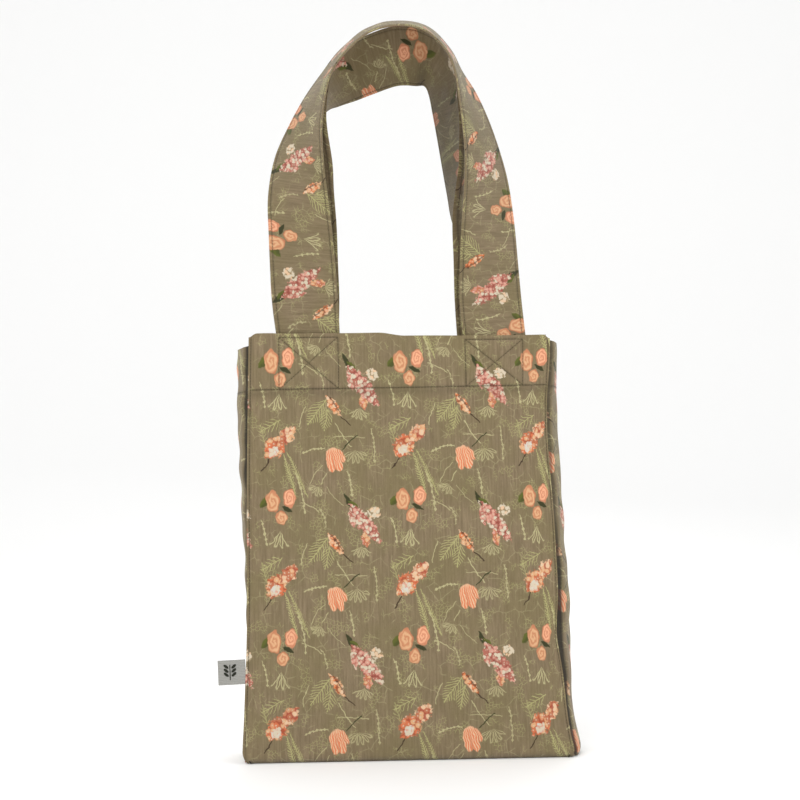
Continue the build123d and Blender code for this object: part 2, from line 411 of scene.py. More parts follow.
def wall_relief(side, x, h):
    """How far a wall's outer face stands out of its flat shape, in millimetres."""
    from_edge = half_width(h) - np.abs(x)
    inside = smooth_step(2, 26, from_edge) * smooth_step(0, 40, h) * smooth_step(0, 14, mouth_z - h)
    share = h / mouth_z
    belly = 3.6 * swell(share, 0.22, 0.2) - 2.6 * swell(share, 0.7, 0.2)
    relief = belly * np.cos(x / half_width(h) * np.pi / 2)
    relief = relief + 0.9 * ripple(x, h, 95, 3 + side) + 0.28 * ripple(x, h, 26, 8 + side)
    for start, end, width, height in wall_folds[side]:
        relief = relief + fold(x, h, start, end, width, height)
    relief = relief * inside
    # The turned hem and the strap ends behind it stand out, and the thread pulls both in.
    relief = relief + 0.7 * smooth_step(hem_z - 1, hem_z + 1.5, h)
    strap_ends = 0.0
    for hand in (LEFT, RIGHT):
        across = smooth_step(-1.5, 1.5, strap_width / 2 - np.abs(x - strap_middle(side, hand)))
        strap_ends = strap_ends + across * smooth_step(hem_z - 2, hem_z + 1.5, h)
    groove = swell(h, hem_z, 1.3)
    for line in box_lines(side):
        groove = np.maximum(groove, swell(distance_to(x, h, line), 0, 1.3))
    corner = swell(from_edge, edge_stitch, 1.1)
    pucker = 0.22 * np.sin(2 * np.pi * x / 7.3 + 2 * ripple(x, h, 30, 5)) * swell(h, hem_z, 5)
    return relief + 1.1 * strap_ends - 0.9 * groove - 0.55 * corner + pucker


def wall_painted_shade(side, x, h):
    """Painted shade, from 0 to 1: how deep in a stitched line or a seam each place lies, with softer painted
    shade under the hem and at the foot.
    """
    from_edge = half_width(h) - np.abs(x)
    line = 0.48 * swell(h, hem_z, 0.85) * (from_edge > 3)
    # Painted shade along the box lines; less along the rising diagonal, whose thread lies shallow.
    for place, ends in enumerate(box_lines(side)):
        deep = 0.18 if place % 5 == rising_diagonal else 0.42
        line = np.maximum(line, deep * swell(distance_to(x, h, ends), 0, 0.8))
    line = np.maximum(line, 0.35 * swell(from_edge, edge_stitch, 0.8))
    # Softer painted shade under the hem and along the foot.
    soft = 0.22 * swell(h, hem_z - 4, 4) + 0.5 * near_start(h, 3.5)
    return np.maximum(line, soft)


def wall_lines():
    """The columns, as shares of the half width, and the rows of a wall's grid: finest at its sewing."""
    half = spaced([0.0, (0.17, 0.0095), (0.88, 0.0066), (1.0, 0.005)])
    columns = np.concatenate([-half[:0:-1], half])
    return columns, spaced([foot_z, (12, 1.2), (hem_z - 5, 2.6), (mouth_z, 1.05)])


def wall_grid(side):
    """Points of a wall's outer face, with its rounded foot and wavy mouth, and their x and height."""
    a, h = np.meshgrid(*wall_lines())
    x = a * half_width(h)
    # The foot turns under the bag, and the lower corners round off.
    y = half_depth(h) + wall_relief(side, x, h) - 5.0 * near_start(h, 7.0) ** 2
    corner = 5.0 * near_start(h, 13.0) ** 2
    x = x - np.sign(x) * corner * smooth_step(base_half - 22, base_half, np.abs(x))
    # The wall's top corners are a little lower than its middle.
    drop = 4.0 * smooth_step(0.93, 1.0, np.abs(a)) ** 2
    z = h + near_mouth(h) * (mouth_wave(x, side) - drop)
    return np.stack([pulled(side, x, h), side * y, z], axis=2), x, h


def make_wall(side, materials):
    name = side_name[side]
    grid, x, h = wall_grid(side)
    shift = 0.0 if side == FRONT else 61.0
    uv = np.stack([-side * x - print_x0 + shift, h - print_h0], axis=2)
    # Painted shade in the wall's stitched lines and seams.
    painted_shade = wall_painted_shade(side, x, h)
    piece = thick_sheet(f"{name}_wall_cloth", grid, cloth, uv, materials, side == REAR, painted_shade)
    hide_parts(f"{name}_panel")
    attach(piece, wall_body[side])
    width, height = 2 * base_half * MM, mouth_z / math.cos(lean) * MM
    area = (base_half + mouth_half) * MM * height


def gusset_out(hand, h):
    """How far a gusset's middle stands out past the walls' edges."""
    share = h / mouth_z
    if hand == LEFT:
        return 1.5 + (left_out - 1.5) * smooth_step(0.15, 1.0, share) ** 1.3
    low = 2.5 * swell(h, 0, 30) + 5.5 * swell(h, 130, 55)
    return right_out_low + (right_out_high - right_out_low) * share + low


def gusset_grid(hand, depth_in, low, high, step, margin):
    """Points of a gusset, or of its hem `depth_in` inside it, from the front seam to the rear."""
    s, h = np.meshgrid(np.linspace(0, 1, 41), spaced([low, (high, step)]))
    side = 2 * s - 1
    inward = 1 - np.abs(side)
    y = side * (half_depth(h) - margin)
    peak = 1.35 if hand == LEFT else 2.2
    arc = 1 - np.abs(side) ** (2.4 - (2.4 - peak) * smooth_step(0.5, 1.0, h / mouth_z))
    rise = smooth_step(0.05, 0.36, inward)
    pull = seam_pull(FRONT, hand, h) * (1 - s) + seam_pull(REAR, hand, h) * s
    # The seams lie 4.5 inside the walls' edges.
    stand = gusset_out(hand, h) * arc * (0.35 + 0.65 * rise) - 4.5 * (1 - rise)
    x = half_width(h) - pull + stand - depth_in
    x = x + 0.8 * ripple(y, h, 45, 21 + hand) * smooth_step(0.0, 0.3, inward)
    x = x + fold(y, h, (-8, 120), (4, 330), 7, 1.1) + fold(y, h, (14, 30), (-6, 150), 8, -1.0)
    x = x - 4.0 * near_start(h, 9.0) ** 2
    dip = smooth_step(mouth_z - 40, mouth_z, h) * (1.5 + 5.0 * (1 - np.abs(side) ** 5))
    return np.stack([hand * x, y, h - dip], axis=2), y, h


def gusset_painted_shade(hand, y, h, margin):
    """Painted shade: the crevice beside a wall's edge is painted dark, deepest where the gusset stands away
    from it, with more painted shade at the foot and along the hem line.
    """
    inward = 1 - np.abs(y) / (half_depth(h) - margin)
    if hand == LEFT:
        shade = 0.55 + 0.45 * smooth_step(240, 285, h) + 0.45 * (1 - smooth_step(70, 110, h))
    else:
        shade = 1.0 - 0.35 * smooth_step(180, 240, h)
    painted_shade = shade * (1 - smooth_step(0.25, 0.32, inward)) + 0.4 * near_start(h, 4)
    return np.clip(np.maximum(painted_shade, 0.8 * swell(h, hem_z, 1.0)), 0, 1)


def make_gusset(hand, materials):
    name = hand_name[hand]
    margin = cloth + 0.4
    grid, y, h = gusset_grid(hand, 0.0, foot_z, mouth_z - 0.6, 2.6, margin)
    shift = 12.0 if hand == LEFT else 84.0
    uv = np.stack([hand * y + shift, h - print_h0 + 6], axis=2)
    # Painted shade in the crevices beside the walls' edges.
    painted_shade = gusset_painted_shade(hand, y, h, margin)
    piece = thick_sheet(f"{name}_gusset_cloth", grid, cloth, uv, materials, hand == LEFT, painted_shade)
    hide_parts(f"{name}_gusset")
    across_gusset(piece)
    mouth_z * MM
    low, high = hem_z - edge_stitch, mouth_z - 0.4
    grid, y, h = gusset_grid(hand, cloth + 0.3, low, high, hem_step, cloth + 2.6)
    uv = np.stack([y + shift + 40, h], axis=2)
    plain = [materials[0]] * 2
    hem = thick_sheet(f"{name}_gusset_hem_cloth", grid, hem_cloth, uv, plain, flip=hand == LEFT)
    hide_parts(f"{name}_gusset_hem")
    across_gusset(hem)
    flat = (2 * mouth_y * MM, (hem_depth + edge_stitch) * MM)


def across_gusset(piece):
    """Bakes a gusset piece's placing into its mesh; the gusset reaches from the front wall, which moves, to
    the rear of the bag.
    """
    start, end = (0, (mouth_y - 1) * MM, 0), (0, -(mouth_y - 2) * MM, 0)
    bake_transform(piece)


def make_hem(side, material):
    """The turned hem inside a wall. It follows the wall where that sinks in."""
    name = side_name[side]
    columns = np.linspace(-1, 1, 121) * (1 - 4.2 / mouth_half)
    rows = spaced([hem_z - edge_stitch, (mouth_z - 0.4, hem_step)])
    a, h = np.meshgrid(columns, rows)
    x = a * half_width(h)
    hollow = np.minimum(wall_relief(side, x, h), 0)
    y = half_depth(h) - cloth - 1.2 + 0.2 * ripple(x, h, 30, 31) + hollow
    grid = np.stack([pulled(side, x, h), side * y, h], axis=2)
    uv = np.stack([side * x + 33, -h], axis=2)
    piece = thick_sheet(f"{name}_hem_cloth", grid, hem_cloth, uv, [material] * 2, flip=side == REAR)
    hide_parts(f"{name}_hem_facing")
    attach(piece, wall_body[side])
    flat = (2 * mouth_half * MM, (hem_depth + edge_stitch) * MM)


def make_base(materials):
    half_long, half_deep = base_half - 2.2, base_y - 3.2
    x, y = np.meshgrid(np.linspace(-1, 1, 90) * half_long, np.linspace(-1, 1, 26) * half_deep)
    edge = np.minimum(half_long - np.abs(x), half_deep - np.abs(y))
    z = 0.05 + 1.6 * near_start(edge, 4.0) ** 2
    grid = np.stack([x, y, z], axis=2)
    uv = np.stack([x, y], axis=2)
    piece = thick_sheet("base_cloth", grid, cloth, uv, materials, flip=True)
    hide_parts("base_panel")
    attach(piece, "bag_body")


# Straps


def curve_through(points, steps):
    """Points along a smooth curve through the given ones, at real heights."""
    knots = np.array(points, float) + [0, 0, mouth_z]
    knots = np.concatenate([[knots[0] * 2 - knots[1]], knots, [knots[-1] * 2 - knots[-2]]])
    t = (np.arange(steps) / steps)[:, None]
    curve = []
    for a, b, c, d in zip(knots, knots[1:], knots[2:], knots[3:]):
        bend = (a * 2 - b * 5 + c * 4 - d) * t**2 + (b * 3 - a - c * 3 + d) * t**3
        curve.append((b * 2 + (c - a) * t + bend) * 0.5)
    return np.concatenate([*curve, knots[-2:-1]])


def strap_frame(side):
    """A strap's inner edge, across vectors and outward normals, with its ends inside the hem."""
    steps = 12
    edges = {FRONT: (front_inner_edge, front_outer_edge), REAR: (rear_inner_edge, rear_outer_edge)}
    inner, outer = (curve_through(edge, steps) for edge in edges[side])
    drop = np.linspace(hem_depth, 0, 22, endpoint=False)[:, None]
    down = np.array([0, side * math.sin(lean), -math.cos(lean)])
    inner, outer = (
        np.concatenate([edge[0] + down * drop, edge, edge[-1] + down * drop[::-1]])
        for edge in (inner, outer)
    )
    along = np.gradient(inner + outer, axis=0)
    across = outer - inner
    out = -np.cross(across, along)
    out /= np.linalg.norm(out, axis=1, keepdims=True)
    middle = (inner + outer) / 2
    length = np.concatenate([[0], np.cumsum(np.linalg.norm(np.diff(middle, axis=0), axis=1))])
    return inner, across, out, length - hem_depth


def rear_bow(t, share):
    """The rear strap bellies out towards the front one it hangs inside, and rises to it at the top.

    t runs from 0 to 1 along the strap's loop and share from 0 to 1 across it, inner edge first.
    """
    belly = 8.0 * plateau(t, (0.20, 0.32), (0.44, 0.5)) + 9.0 * plateau(t, (0.52, 0.6), (0.84, 0.93))
    belly = belly + 1.5 * smooth_step(0.1, 0.3, t)
    belly = belly * np.sin(np.pi * np.clip(share, 0, 1) ** 0.6) ** 1.2
    crown = plateau(t, (0.27, 0.36), (0.62, 0.72)) * (5.4 + 2.4 * (1 - smooth_step(0.46, 0.55, t)))
    return belly + crown * (1 - smooth_step(0.0, 0.5, share))


def strap_wave(side, s, w):
    """How far a strap's middle layer lies off its flat cross-section, s along the strap and w across it."""
    end = s.max() - hem_depth
    free = smooth_step(10, 70, s) * smooth_step(10, 70, end - s)
    wave = 1.1 * ripple(s, w * 0.6, 90, 41 + side) + 0.35 * ripple(s, w, 24, 45 + side)
    wave = wave * (1 - (2 * w / strap_width - 1) ** 2) * free
    return wave if side == FRONT else wave + rear_bow(s / end, w / strap_width)


def end_caps(rows, columns):
    """Quads that close both ends of a strap, whose cross-section goes out and back in `columns` points."""
    last = columns - 2
    caps = []
    for row in (0, rows - 1):
        ring = np.arange(columns) + row * columns
        for k in range(last // 2 - 1):
            quad = [ring[k], ring[k + 1], ring[last - 1 - k], ring[last - k]]
            caps.append(quad if row else quad[::-1])
    return caps


def make_strap(side, material):
    name = side_name[side]
    frames = strap_frame(side)
    inner, across, out, length = frames
    # Half a cross-section: places across the strap, closest at its edges, and the cloth's half thickness.
    w = spaced([0.5, (6.0, 0.9), (strap_width - 6.0, 4.2), (strap_width - 0.5, 0.9)])
    pinch = swell(w, strap_stitch, 1.0) + swell(w, strap_width - strap_stitch, 1.0)
    thin_edge = near_start(np.minimum(w, strap_width - w), 1.6)
    half = strap_cloth / 2 - 0.12 - 0.42 * pinch - 0.35 * thin_edge
    loop_w = np.concatenate([w, [strap_width], w[::-1], [0.0]])
    loop_t = np.concatenate([half, [0.0], -half[::-1], [0.0]])
    s = length[:, None]
    lift = loop_t + strap_wave(side, s, loop_w)
    points = (
        inner[:, None, :]
        + across[:, None, :] * (loop_w / strap_width)[None, :, None]
        + out[:, None, :] * lift[:, :, None]
    )
    rows, columns = points.shape[:2]
    faces = np.concatenate([grid_faces(rows, columns, wrap=True), end_caps(rows, columns)])
    outside = loop_t >= 0
    start = -100.0 if side == FRONT else -63.0
    u = np.where(outside, s + start, -s + 40 + start)
    v = np.where(outside, loop_w - 54.7, loop_w - 20.0) + 0 * s
    uv = np.stack([u, v], axis=2).reshape(-1, 2) * MM
    # Painted shade: next to the front strap the rear strap's inner face is painted darker, as though in the
    # front strap's shade.
    t = s / (length[-1] - hem_depth)
    shade = 0.5 * plateau(t, (0.55, 0.62), (0.74, 0.84)) * (side == REAR)
    # Painted shade along the stitched lines, and a slight even darkening of the whole strap.
    pinched = np.concatenate([pinch, [0.0], pinch[::-1], [0.0]])
    painted_shade = np.maximum(0.45 * pinched, 0.07 + shade * ~outside)
    piece = add_mesh(f"{name}_strap", points.reshape(-1, 3), faces, [material], uv=uv, painted_shade=painted_shade)
    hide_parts(f"{name}_handle", f"{name}_handle_ends")
    bend_at_mouth(piece)
    flat = (strap_width * MM, (length[-1] + hem_depth) * MM)
    return frames


def bend_at_mouth(piece):
    """Bakes a strap piece's placing into its mesh. A strap's cloth lies along its wall below the mouth and
    forms its own handle above it.
    """
    start, end = (0, 0, (mouth_z - 1) * MM), (0, 0, (mouth_z + 16) * MM)
    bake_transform(piece)


# Sewing


def one_stitch():
    """A stitch's points, thickest in its middle, and its faces."""
    long, wide, high = stitch_pitch * 0.78, 0.52, 0.34
    ring = np.array([(math.cos(a), math.sin(a)) for a in np.arange(6) * math.pi / 3])
    stations = [(-0.5, 0.25), (-0.36, 0.85), (0.0, 1.0), (0.36, 0.85), (0.5, 0.25)]
    body = [(x * long, c * wide / 2 * r, k * high / 2 * r) for x, r in stations for c, k in ring]
    sides = grid_faces(len(stations), 6, wrap=True)
    ends = np.array([[0, 1, 2, 3], [0, 3, 4, 5]])
    return np.array(body), np.concatenate([sides, ends[:, ::-1], ends + 6 * (len(stations) - 1)])


def stitch_mesh(name, runs, material):
    """Separate stitches along each run: (points, normals) of a line on the cloth."""
    body, local = one_stitch()
    points, faces = [], []
    for line, normal in runs:
        steps = np.linalg.norm(np.diff(line, axis=0), axis=1)
        at = np.concatenate([[0], np.cumsum(steps)])
        count = max(1, int(at[-1] / stitch_pitch))
        for k in range(count):
            here = (k + 0.5) * at[-1] / count
            ahead, behind = (
                np.array([np.interp(here + d, at, line[:, i]) for i in range(3)]) for d in (0.6, -0.6)
            )
            up = np.array([np.interp(here, at, normal[:, i]) for i in range(3)])
            along = ahead - behind
            along /= np.linalg.norm(along)
            up -= along * np.dot(up, along)
            up /= np.linalg.norm(up)
            side = np.cross(up, along)
            centre = (ahead + behind) / 2
            faces.append(local + len(points) * len(body))
            points.append(centre + body @ np.stack([along, side, up]))
    piece = add_mesh(name, np.concatenate(points), np.concatenate(faces), [material])
    return piece


def wall_run(side, start, end):
    """A line over a wall's outer face, just proud of the cloth, from one (x, h) to another."""
    length = math.hypot(end[0] - start[0], end[1] - start[1])
    t = np.linspace(0, 1, max(3, int(length / 1.5)))
    x = start[0] + (end[0] - start[0]) * t
    h = start[1] + (end[1] - start[1]) * t
    proud = 0.22
    y = half_depth(h) + wall_relief(side, x, h) + proud
    z = h + near_mouth(h) * mouth_wave(x, side)
    line = np.stack([pulled(side, x, h), side * y, z], axis=1)
    normal = np.tile([0, side * math.cos(lean), math.sin(lean)], (len(t), 1))
    return line, normal


def corner_run(side, hand):
    """The topstitching up a wall's side, beside its edge."""
    ends = [(hand * (half_width(h) - edge_stitch), h) for h in (14.0, mouth_z - 5.0)]
    return wall_run(side, *ends)


def gusset_run(hand):
    """The hem stitching across a gusset."""
    grid, _, _ = gusset_grid(hand, 0.0, hem_z - 0.5, hem_z + 0.5, 1.0, cloth + 0.4)
    line = grid[0][3:-3] + [hand * 0.08, 0, 0]
    return line, np.tile([hand, 0.0, 0.0], (len(line), 1))


def strap_runs(side, frames):
    """Topstitching along both edges of a strap, on both faces."""
    inner, across, out, s = frames
    rows = np.flatnonzero((s > 1) & (s < s[-1] - hem_depth - 1))
    runs = []
    for w in (strap_stitch, strap_width - strap_stitch):
        for face in (1, -1):
            lift = strap_wave(side, s, w) + face * (strap_cloth / 2 - 0.46)
            line = inner + across * (w / strap_width) + out * lift[:, None]
            runs.append((line[rows], face * out[rows]))
    return runs


def make_sewing(thread, frames):
    for side, name in side_name.items():
        reach = half_width(hem_z) - 4.0
        hem = stitch_mesh(f"{name}_hem_stitches", [wall_run(side, (-reach, hem_z), (reach, hem_z))], thread)
        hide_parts(f"{name}_hem_stitching")
        runs = [wall_run(side, *line) for line in box_lines(side)]
        boxes = stitch_mesh(f"{name}_box_stitches", runs, thread)
        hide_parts(f"{name}_box_stitching")
        runs = [corner_run(side, hand) for hand in (LEFT, RIGHT)]
        corners = stitch_mesh(f"{name}_corner_stitches", runs, thread)
        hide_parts(f"{name}_corner_topstitching")
        for piece in (hem, boxes, corners):
            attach(piece, wall_body[side])
        piece = stitch_mesh(f"{name}_strap_stitches", strap_runs(side, frames[side]), thread)
        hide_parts(f"{name}_handle_stitching")
        bend_at_mouth(piece)
    across = stitch_mesh("gusset_hem_stitches", [gusset_run(hand) for hand in (LEFT, RIGHT)], thread)
    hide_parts("gusset_hem_stitching")
    across_gusset(across)


# Label


def make_label(tape, dark):
    """The folded tape label: two layers with a round fold at the free end."""
    low, high = (np.array(c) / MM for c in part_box("side_label"))
    middle = (low + high) / 2
    long, tall, thick, in_seam = 24.0, 24.0, 1.2, 3.2
    fold_at = long - thick / 2
    s = np.concatenate([np.linspace(-in_seam, fold_at, 16), np.linspace(fold_at, long, 5)[1:]])
    s, z = np.meshgrid(s, np.linspace(-tall / 2, tall / 2, 15))
    half = thick / 2 * np.sqrt(np.clip(1 - np.clip((s - fold_at) / (thick / 2), 0, 1) ** 2, 0, 1))
    faces_of = [np.stack([long / 2 - s, face * half, z], axis=2).reshape(-1, 3) for face in (-1, 1)]
    points = np.concatenate(faces_of)
    uv = points[:, [0, 2]] * MM
    droop = np.array(Matrix.Rotation(-math.radians(2.0), 3, "Y"))
    points = points @ droop.T + middle
    rows, columns = s.shape
    count = rows * columns
    front = grid_faces(rows, columns, flip=True)
    back = grid_faces(rows, columns, first=count)
    ring = border(rows, columns)
    following = np.roll(ring, -1)
    rim = np.stack([ring, following, following + count, ring + count], axis=1)
    faces = np.concatenate([front, back, rim])
    which = np.repeat([0, 1, 1], [len(front), len(back), len(rim)])
    piece = add_mesh("label_tape", points, faces, [tape, dark], which, uv)
    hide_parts("side_label")
    hinge = (middle[0] + long / 2) * MM
    hinge - 0.003
    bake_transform(piece)


def make_sprig(material):
    """The small leaf sprig woven into the label: its stem and leaves, as in the CAD model."""
    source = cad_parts["label_sprig"].data
    points = np.array([v.co for v in source.vertices]) / MM
    faces = np.array([list(p.vertices) for p in source.polygons])
    piece = add_mesh("label_leaf_sprig", points, faces, [material], uv=points[:, [0, 2]] * MM)
    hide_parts("label_sprig")
    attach(piece, "label")


# Materials: a small helper that builds node trees, then the cloth, its print, the thread and the tape


def srgb(red, green, blue):
    def linear(c):
        c = c / 255
        return c / 12.92 if c <= 0.04045 else ((c + 0.055) / 1.055) ** 2.4

    return (linear(red), linear(green), linear(blue), 1.0)


class Num:
    """A number socket that ordinary arithmetic builds Math nodes on."""

    def __init__(self, graph, socket):
        self.graph, self.socket = graph, socket

    def __add__(self, other):
        return self.graph.math("ADD", self, other)

    def __sub__(self, other):
        return self.graph.math("SUBTRACT", self, other)

    def __rsub__(self, other):
        return self.graph.math("SUBTRACT", other, self)

    def __mul__(self, other):
        return self.graph.math("MULTIPLY", self, other)

    def __truediv__(self, other):
        return self.graph.math("DIVIDE", self, other)

    def __abs__(self):
        return self.graph.math("ABSOLUTE", self)

    __radd__ = __add__
    __rmul__ = __mul__


class Graph:
    """A material's node tree."""

    def __init__(self, name):
        self.material = bpy.data.materials.new(name)
        self.material.use_nodes = True
        self.tree = self.material.node_tree
        self.shader = self.tree.nodes["Principled BSDF"]

    def node(self, kind, values=(), **settings):
        """A new node, its settings, and its inputs by position or name."""
        node = self.tree.nodes.new(kind)
        for key, value in settings.items():
            setattr(node, key, value)
        pairs = values.items() if isinstance(values, dict) else enumerate(values)
        for key, value in pairs:
            self.connect(node.inputs[key], value)
        return node

    def connect(self, target, value):
        if isinstance(value, Num):
            self.tree.links.new(value.socket, target)
        elif isinstance(value, bpy.types.NodeSocket):
            self.tree.links.new(value, target)
        else:
            target.default_value = value

    def math(self, operation, *values):
        return Num(self, self.node("ShaderNodeMath", values, operation=operation).outputs[0])

    def sine(self, value):
        return self.math("SINE", value)

    def vector(self, operation, *values):
        return self.node("ShaderNodeVectorMath", values, operation=operation).outputs[0]

    def size_of(self, vector):
        return Num(self, self.node("ShaderNodeVectorMath", [vector], operation="LENGTH").outputs["Value"])

    def split(self, vector):
        node = self.node("ShaderNodeSeparateXYZ", [vector])
        return Num(self, node.outputs[0]), Num(self, node.outputs[1])

    def below(self, value, edge, soft):
        """1 where value is under edge, falling to 0 over a soft edge."""
        values = {"Value": value, "From Min": edge - soft, "From Max": edge + soft, "To Min": 1, "To Max": 0}
        return Num(self, self.node("ShaderNodeMapRange", values).outputs[0])

    def mix(self, share, a, b):
        node = self.node("ShaderNodeMix", data_type="RGBA")
        self.connect(node.inputs["Factor"], share)
        self.connect(node.inputs[6], a)
        self.connect(node.inputs[7], b)
        return node.outputs[2]

    def noise(self, vector, scale, detail):
        values = {"Vector": vector, "Scale": scale, "Detail": detail, "Roughness": 0.5}
        return self.node("ShaderNodeTexNoise", values, noise_dimensions="2D")

    def grain(self, vector, scale, detail, stretch=None):
        """Noise as a number, stretched along one way where `stretch` is given."""
        if stretch:
            vector = self.vector("MULTIPLY", vector, stretch)
        return Num(self, self.noise(vector, scale, detail).outputs[0])

    def uv_mm(self):
        place = self.node("ShaderNodeUVMap", uv_map="print").outputs[0]
        return self.vector("MULTIPLY", place, (1000.0, 1000.0, 0.0))

    def surface(self, colour, strength, distance, height, roughness, specular):
        """Connects the colour and a bump, and sets how matt the surface is."""
        values = {"Strength": strength, "Distance": distance, "Height": height}
        self.connect(self.shader.inputs["Base Color"], colour)
        self.connect(self.shader.inputs["Normal"], self.node("ShaderNodeBump", values).outputs[0])
        self.shader.inputs["Roughness"].default_value = roughness
        self.shader.inputs["Specular IOR Level"].default_value = specular
        return self.material


def plain_cloth(graph, place, colours):
    """The undyed ground: slub streaks along the warp, mottling and the two thread directions."""
    streak = graph.grain(place, 1.0, 3.0, (0.55, 0.035, 1))
    mottle = graph.grain(place, 0.022, 3.0)
    fleck = graph.grain(place, 1.6, 2.0, (1.0, 0.22, 1))
    share = graph.math("MULTIPLY_ADD", streak - 0.5, 2.8, 0.5)
    colour = graph.mix(share, colours[0], colours[1])
    colour = graph.mix(graph.below(mottle, 0.5, 0.16) * 0.55, colour, colours[2])
    return graph.mix(graph.below(fleck, 0.36, 0.08) * 0.35, colour, colours[3])


def finish_cloth(graph, place, colour):
    """Paints shade into creases, seams and stitched lines, and adds a plain weave with slubs: threads that
    cross over and under.
    """
    x, y = graph.split(place)
    turn = 2 * math.pi / 0.9  # one thread over and one under in 0.9 mm
    over = graph.sine(x * turn) * graph.sine(y * turn)
    slub = graph.grain(place, 1.0, 2.0, (0.8, 0.12, 1))
    cross = graph.grain(place, 1.0, 2.0, (0.12, 0.8, 1))
    height = over * 0.35 + slub * 1.3 + cross * 0.9
    # Painted shade: the point attribute mixes the cloth colour towards a dark brown.
    painted_shade = Num(graph, graph.node("ShaderNodeAttribute", attribute_name="painted_shade").outputs["Fac"])
    colour = graph.mix(painted_shade * 0.92, colour, srgb(30, 25, 15))
    graph.shader.inputs["Sheen Weight"].default_value = 0.18
    graph.shader.inputs["Sheen Roughness"].default_value = 0.6
    return graph.surface(colour, 0.55, 0.00028, height, 0.92, 0.22)


ground = [srgb(130, 113, 87), srgb(110, 95, 70), srgb(112, 101, 66), srgb(90, 78, 52)]
canvas = [srgb(160, 147, 120), srgb(146, 132, 106), srgb(145, 136, 106), srgb(128, 116, 90)]
olive, dark_olive = srgb(84, 88, 30), srgb(50, 50, 20)
pale, pale_green = srgb(180, 172, 128), srgb(168, 164, 110)
peach, light_peach, coral = srgb(204, 155, 113), srgb(212, 175, 140), srgb(174, 104, 72)
rose_peach, bell_coral = srgb(222, 158, 122), srgb(206, 122, 84)
pink, rose_pink, white, brown = srgb(198, 140, 122), srgb(162, 96, 80), srgb(198, 184, 160), srgb(58, 40, 24)


